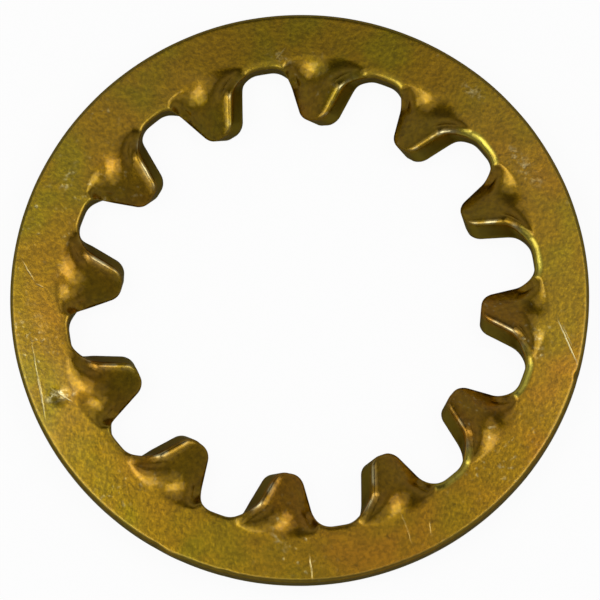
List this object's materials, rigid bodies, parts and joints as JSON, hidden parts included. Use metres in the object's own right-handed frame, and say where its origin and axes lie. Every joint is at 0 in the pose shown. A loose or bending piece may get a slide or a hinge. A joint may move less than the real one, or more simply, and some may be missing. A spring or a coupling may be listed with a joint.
{
  "type": "internal-tooth lock washer",
  "caption": "Flat spring-steel ring with twisted teeth round its bore, which bite into a nut or screw head and the surface under it so that the joint can't shake loose.",
  "frame": {"origin": "centre of the washer, on the axis of its hole at half of the sheet's thickness", "axes": "+Z along the axis of the hole, +X along the first tooth"},
  "size_m": [0.0268, 0.0268, 0.0024],
  "materials": {
    "zinc_plated_steel": "spring steel, zinc plated with a yellow chromate passivation, scuffed and satin"
  },
  "bodies": {
    "root": {"toothed_washer": "zinc_plated_steel"}
  },
  "joints": []
}
